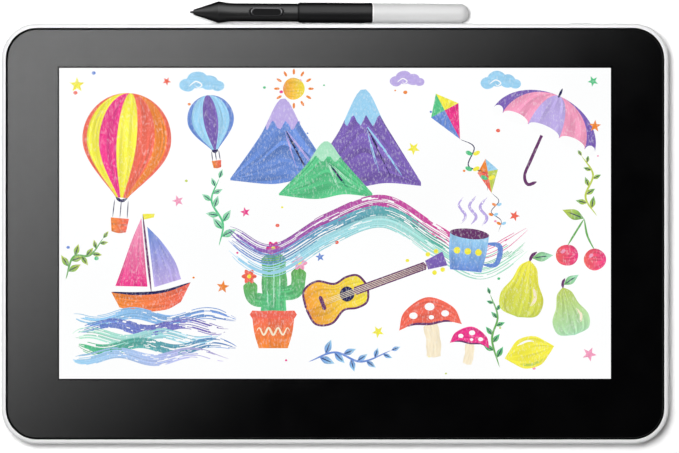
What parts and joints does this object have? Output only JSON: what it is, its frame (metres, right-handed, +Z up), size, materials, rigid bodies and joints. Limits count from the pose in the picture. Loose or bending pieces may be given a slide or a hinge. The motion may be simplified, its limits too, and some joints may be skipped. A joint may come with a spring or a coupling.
{
  "type": "pen display tablet",
  "caption": "Flat pen display with a black-bordered screen in a white tray, two fold-out rear legs, and a battery-free pen with a side switch.",
  "frame": {"origin": "on the desk under the middle of the box that holds tablet and pen", "axes": "+X to the user's right along the tablet's long side, +Y to the rear edge and the pen, +Z up through the screen"},
  "size_m": [0.357, 0.2372, 0.0146],
  "materials": {
    "housing_white": "fine satin moulding",
    "leg_white": "fine satin moulding",
    "rubber_grey": "matt, fine grain",
    "cover_glass": "etched, faint sheen",
    "border_black": "black print under the glass",
    "gasket_black": "foam tape",
    "screen_face": "polarised face",
    "film_white": "white film",
    "guide_clear": "clear acrylic with fine dots",
    "tray_steel": "plain sheet",
    "board_green": "solder mask",
    "chip_black": "moulded",
    "flex_amber": "polyimide film",
    "frame_grey": "glass-filled moulding",
    "pin_steel": "drawn wire",
    "port_steel": "drawn shell",
    "lens_clear": "frosted light pipe",
    "pen_dark_grey": "soft-touch",
    "pen_black": "satin moulding",
    "pen_white": "satin moulding",
    "switch_grey": "satin moulding",
    "nib_grey": "polished felt-hard plastic",
    "ferrite": "fired ceramic",
    "copper_wire": "enamelled winding"
  },
  "bodies": {
    "tablet": {"rear_housing": "housing_white", "mid_frame": "frame_grey", "cover_glass": "cover_glass", "border_print": "border_black", "cover_gasket": "gasket_black", "lcd_cell": "screen_face", "optical_sheets": "film_white", "light_guide": "guide_clear", "reflector_sheet": "film_white", "led_strip": "board_green", "backlight_tray": "tray_steel", "sensor_board": "board_green", "shield_plate": "tray_steel", "driver_board": "board_green", "lcd_flex": "flex_amber", "display_cable": "flex_amber", "sensor_cable": "flex_amber", "main_board": "board_green", "board_chips": "chip_black", "usb_c_port": "port_steel", "power_switch": "chip_black", "status_lens": "lens_clear", "housing_screws": "pin_steel", "board_screws": "pin_steel", "left_front_foot": "rubber_grey", "right_front_foot": "rubber_grey", "left_rear_foot": "rubber_grey", "right_rear_foot": "rubber_grey", "left_hinge_pin": "pin_steel", "right_hinge_pin": "pin_steel", "nib_holder": "frame_grey", "spare_nibs": "nib_grey", "nib_puller": "pin_steel"},
    "left_leg": {"left_leg": "leg_white", "left_leg_pad": "rubber_grey"},
    "right_leg": {"right_leg": "leg_white", "right_leg_pad": "rubber_grey"},
    "power_button": {"power_button": "housing_white"},
    "pen": {"pen_grip_shell": "pen_dark_grey", "pen_rear_shell": "pen_black", "pen_end_cap": "pen_white", "pen_ferrite": "ferrite", "pen_coil": "copper_wire", "pen_pressure_sensor": "chip_black", "pen_carrier": "frame_grey", "pen_circuit_board": "board_green", "pen_switch_contact": "chip_black"},
    "pen_switch": {"pen_side_switch": "switch_grey"},
    "nib": {"pen_nib": "nib_grey"}
  },
  "joints": [
    {"name": "left_leg_hinge", "type": "hinge", "parent": "tablet", "child": "left_leg", "pos_m": [-0.095, 0.08385, 0.0032], "axis": [1, 0, 0], "range_deg": [0, 95]},
    {"name": "right_leg_hinge", "type": "hinge", "parent": "tablet", "child": "right_leg", "pos_m": [0.095, 0.08385, 0.0032], "axis": [1, 0, 0], "range_deg": [0, 95]},
    {"name": "power_button_press", "type": "slide", "parent": "tablet", "child": "power_button", "axis": [0, -1, 0], "range_m": [0, 0.0004], "stiffness_N_per_m": 1500},
    {"name": "pen_lift", "type": "slide", "parent": "tablet", "child": "pen", "axis": [0, 0, 1], "range_m": [0, 0.06]},
    {"name": "pen_switch_press", "type": "slide", "parent": "pen", "child": "pen_switch", "axis": [-0.0046, 0, -1], "range_m": [0, 0.0003], "stiffness_N_per_m": 3000},
    {"name": "nib_press", "type": "slide", "parent": "pen", "child": "nib", "axis": [1, -0.0046, -0.0046], "range_m": [0, 0.0003], "stiffness_N_per_m": 1500}
  ]
}
